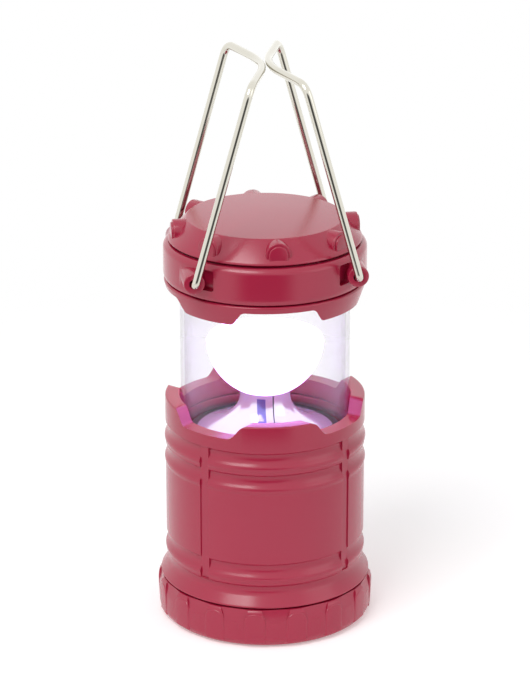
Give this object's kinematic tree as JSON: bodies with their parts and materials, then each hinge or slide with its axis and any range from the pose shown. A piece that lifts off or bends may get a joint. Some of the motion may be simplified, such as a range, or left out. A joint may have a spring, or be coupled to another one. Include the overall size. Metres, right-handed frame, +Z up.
{
  "type": "camping lantern",
  "caption": "Pull-up camping lantern with a clear tube and frosted lamp bowl between a grooved barrel and a lugged head, two folding wire handles and a twist-off base cap.",
  "frame": {"origin": "middle of the base's underside, on the surface it stands on", "axes": "+Z up along the barrel's axis and the head's travel; +-Y faces carry a rim tab, and the handles' pivot axes run along Y"},
  "size_m": [0.0632, 0.0632, 0.1659],
  "materials": {
    "shell": "satin moulded ABS, raspberry red",
    "clear": "clear moulded polycarbonate, polished",
    "frosted": "frosted translucent polycarbonate, glows when lit",
    "led": "LED phosphor domes, emissive when lit",
    "inner_white": "white moulded ABS and white circuit board",
    "inner_black": "black moulded ABS",
    "rubber": "black nitrile rubber",
    "reflector": "vacuum-plated mirror finish on ABS",
    "handle_wire": "nickel-plated drawn steel wire",
    "screw_steel": "zinc-plated steel",
    "contact_steel": "nickel-plated spring steel",
    "contact_brass": "pressed brass",
    "cell_can": "printed film sleeve, plain",
    "lead_red": "PVC insulation",
    "lead_black": "PVC insulation"
  },
  "bodies": {
    "base": {"barrel": "shell", "tube_seal": "rubber", "cap_seal": "rubber", "contact_rail_left": "contact_brass", "contact_rail_right": "contact_brass", "battery_core": "inner_black", "cartridge": "inner_black", "cartridge_disc": "contact_steel", "cartridge_button": "contact_brass", "cell_1": "cell_can", "cell_2": "cell_can", "cell_3": "cell_can", "core_screw_1": "screw_steel", "core_screw_2": "screw_steel", "core_screw_3": "screw_steel", "core_terminal": "contact_brass", "lead_positive": "lead_red", "lead_negative": "lead_black", "reflector_cone": "reflector", "led_board": "inner_white", "led_1": "led", "led_2": "led", "led_3": "led", "diffuser_bowl": "frosted", "diffuser_lid": "inner_white"},
    "base_cap": {"base_cap": "shell", "cap_contact": "contact_steel", "cap_spring": "contact_steel"},
    "head": {"clear_tube": "clear", "tube_stop_ring": "shell", "contact_bridge": "contact_brass", "head_skirt": "shell", "head_band": "shell", "top_cap": "shell", "ceiling_reflector": "inner_white", "head_screw_1": "screw_steel", "head_screw_2": "screw_steel", "head_screw_3": "screw_steel", "head_screw_4": "screw_steel"},
    "handle_left": {"handle_left": "handle_wire"},
    "handle_right": {"handle_right": "handle_wire"}
  },
  "joints": [
    {"name": "head_slide", "type": "slide", "parent": "base", "child": "head", "axis": [0, 0, 1], "range_m": [-0.0333, 0]},
    {"name": "handle_left_swing", "type": "hinge", "parent": "head", "child": "handle_left", "pos_m": [-0.02305, 0, 0.1088], "axis": [0, -1, 0], "range_deg": [0, 192]},
    {"name": "handle_right_swing", "type": "hinge", "parent": "head", "child": "handle_right", "pos_m": [0.02305, 0, 0.1088], "axis": [0, 1, 0], "range_deg": [0, 192]},
    {"name": "base_cap_twist", "type": "hinge", "parent": "base", "child": "base_cap", "pos_m": [0, 0, 0], "axis": [0, 0, 1], "range_deg": [0, 45]}
  ]
}
